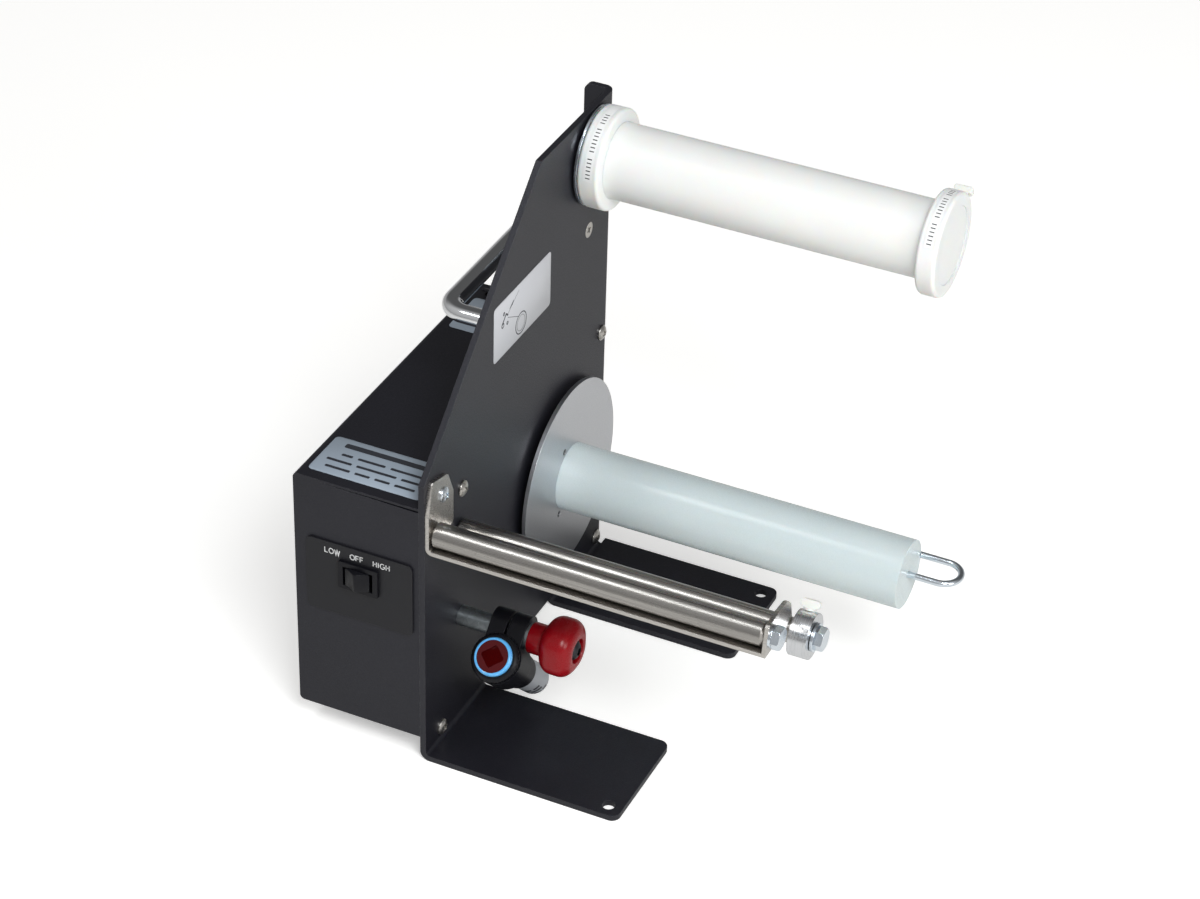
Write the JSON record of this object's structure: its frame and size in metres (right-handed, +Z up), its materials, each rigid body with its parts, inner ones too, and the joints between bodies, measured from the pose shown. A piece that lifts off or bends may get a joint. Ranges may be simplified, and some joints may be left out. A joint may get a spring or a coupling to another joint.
{
  "type": "label dispenser",
  "caption": "Bench-top automatic label dispenser: bent side plate on feet, drive housing, supply spool, powered take-up core, strip bar with guide rods and tilting label sensor.",
  "frame": {"origin": "midway between the two bench bolt holes, on the underside of the feet", "axes": "+Z up, +Y from front to back along the line of bolt holes, +X out from the side plate along the spool and take-up axes"},
  "size_m": [0.2789, 0.2066, 0.2705],
  "materials": {
    "black_powder": "fine-texture powder coat",
    "stainless": "drawn and brushed stainless steel",
    "zinc": "bright zinc plate",
    "screw_steel": "plain stainless screw heads",
    "chrome_bar": "polished chrome plate",
    "aluminium_turned": "turned and clear-coated aluminium",
    "galvanised": "galvanised steel",
    "black_steel": "black oxide",
    "black_plastic": "moulded black plastic",
    "panel_film": "printed black panel",
    "rubber_foot": "moulded rubber",
    "white_nylon": "turned white nylon",
    "natural_nylon": "natural nylon",
    "core_plastic": "pale grey-green plastic rod",
    "red_plastic": "moulded red plastic",
    "blue_plastic": "translucent blue plastic ring",
    "red_lens": "dark red optical window",
    "sensor_grey": "light grey sleeve",
    "gear_case": "die-cast aluminium",
    "motor_steel": "plated steel can",
    "bronze": "sintered bronze",
    "shaft_steel": "ground steel",
    "board_green": "solder resist"
  },
  "bodies": {
    "frame": {"side_plate": "black_powder", "plate_screws": "screw_steel", "housing_cover": "black_powder", "housing_feet": "rubber_foot", "carry_handle": "chrome_bar", "handle_screws": "black_steel", "switch_panel": "panel_film", "switch_body": "black_plastic", "drive_gearbox": "gear_case", "drive_motor": "motor_steel", "gearbox_screws": "black_steel", "shaft_bearing": "bronze", "circuit_board": "board_green", "board_spacers": "natural_nylon", "power_jack": "black_plastic", "supply_axle": "shaft_steel", "axle_nut": "zinc", "supply_washer": "screw_steel", "strip_bracket": "stainless", "bracket_screw": "zinc", "front_rod": "stainless", "rear_rod": "stainless", "rod_screws": "zinc", "rod_washers": "zinc", "rod_bolts": "zinc", "sensor_post": "galvanised", "knob_washer": "zinc"},
    "takeup": {"drive_shaft": "shaft_steel", "takeup_hub": "aluminium_turned", "takeup_disc": "aluminium_turned", "disc_screws": "black_steel", "takeup_core": "core_plastic"},
    "liner_clip": {"takeup_clip": "zinc"},
    "supply_spool": {"supply_tube": "white_nylon"},
    "inner_stop": {"inner_flange": "white_nylon"},
    "inner_thumb": {"inner_flange_screw": "natural_nylon"},
    "outer_stop": {"outer_flange": "white_nylon"},
    "outer_thumb": {"outer_flange_screw": "natural_nylon"},
    "rocker": {"switch_rocker": "black_plastic"},
    "collar": {"guide_collar": "aluminium_turned"},
    "collar_thumb": {"collar_screw": "natural_nylon"},
    "sensor_arm": {"sensor_clamp": "black_plastic"},
    "sensor": {"sensor_barrel": "black_plastic", "sensor_nut": "black_plastic", "sensor_ring": "blue_plastic", "sensor_lens": "red_lens", "sensor_tail": "sensor_grey"},
    "knob": {"clamp_knob": "red_plastic", "knob_screw": "black_steel"}
  },
  "joints": [
    {"name": "takeup_spin", "type": "hinge", "parent": "frame", "child": "takeup", "pos_m": [-0.0335, 0.0465, 0.0773], "axis": [1, 0, 0], "continuous": true},
    {"name": "clip_pull", "type": "slide", "parent": "takeup", "child": "liner_clip", "axis": [1, 0, 0], "range_m": [0, 0.145]},
    {"name": "supply_spin", "type": "hinge", "parent": "frame", "child": "supply_spool", "pos_m": [-0.0335, 0.0755, 0.2453], "axis": [1, 0, 0], "continuous": true},
    {"name": "inner_flange_slide", "type": "slide", "parent": "supply_spool", "child": "inner_stop", "axis": [1, 0, 0], "range_m": [0, 0.06]},
    {"name": "inner_screw_turn", "type": "hinge", "parent": "inner_stop", "child": "inner_thumb", "pos_m": [-0.0852, 0.0948, 0.2291], "axis": [0, 0.766, -0.6428], "range_deg": [0, 360]},
    {"name": "outer_flange_slide", "type": "slide", "parent": "supply_spool", "child": "outer_stop", "axis": [1, 0, 0], "range_m": [-0.09, 0.012]},
    {"name": "outer_screw_turn", "type": "hinge", "parent": "outer_stop", "child": "outer_thumb", "pos_m": [0.08395, 0.09639, 0.25939], "axis": [0, 0.829, 0.5592], "range_deg": [0, 360]},
    {"name": "rocker_tilt", "type": "hinge", "parent": "frame", "child": "rocker", "pos_m": [-0.12745, -0.0968, 0.0982], "axis": [0, 0, 1], "range_deg": [-12, 12]},
    {"name": "collar_turn", "type": "hinge", "parent": "frame", "child": "collar", "pos_m": [0.0815, -0.0642, 0.1143], "axis": [1, 0, 0], "range_deg": [-180, 20]},
    {"name": "collar_screw_turn", "type": "hinge", "parent": "collar", "child": "collar_thumb", "pos_m": [0.0805, -0.0587, 0.12383], "axis": [0, 0.5, 0.866], "range_deg": [0, 360]},
    {"name": "sensor_swing", "type": "hinge", "parent": "frame", "child": "sensor_arm", "pos_m": [-0.0665, -0.0622, 0.0625], "axis": [1, 0, 0], "range_deg": [0, 60]},
    {"name": "sensor_slide", "type": "slide", "parent": "sensor_arm", "child": "sensor", "axis": [0, -0.7071, 0.7071], "range_m": [0, 0.012]},
    {"name": "knob_turn", "type": "hinge", "parent": "frame", "child": "knob", "pos_m": [-0.0435, -0.0622, 0.0625], "axis": [1, 0, 0], "range_deg": [0, 360]}
  ]
}
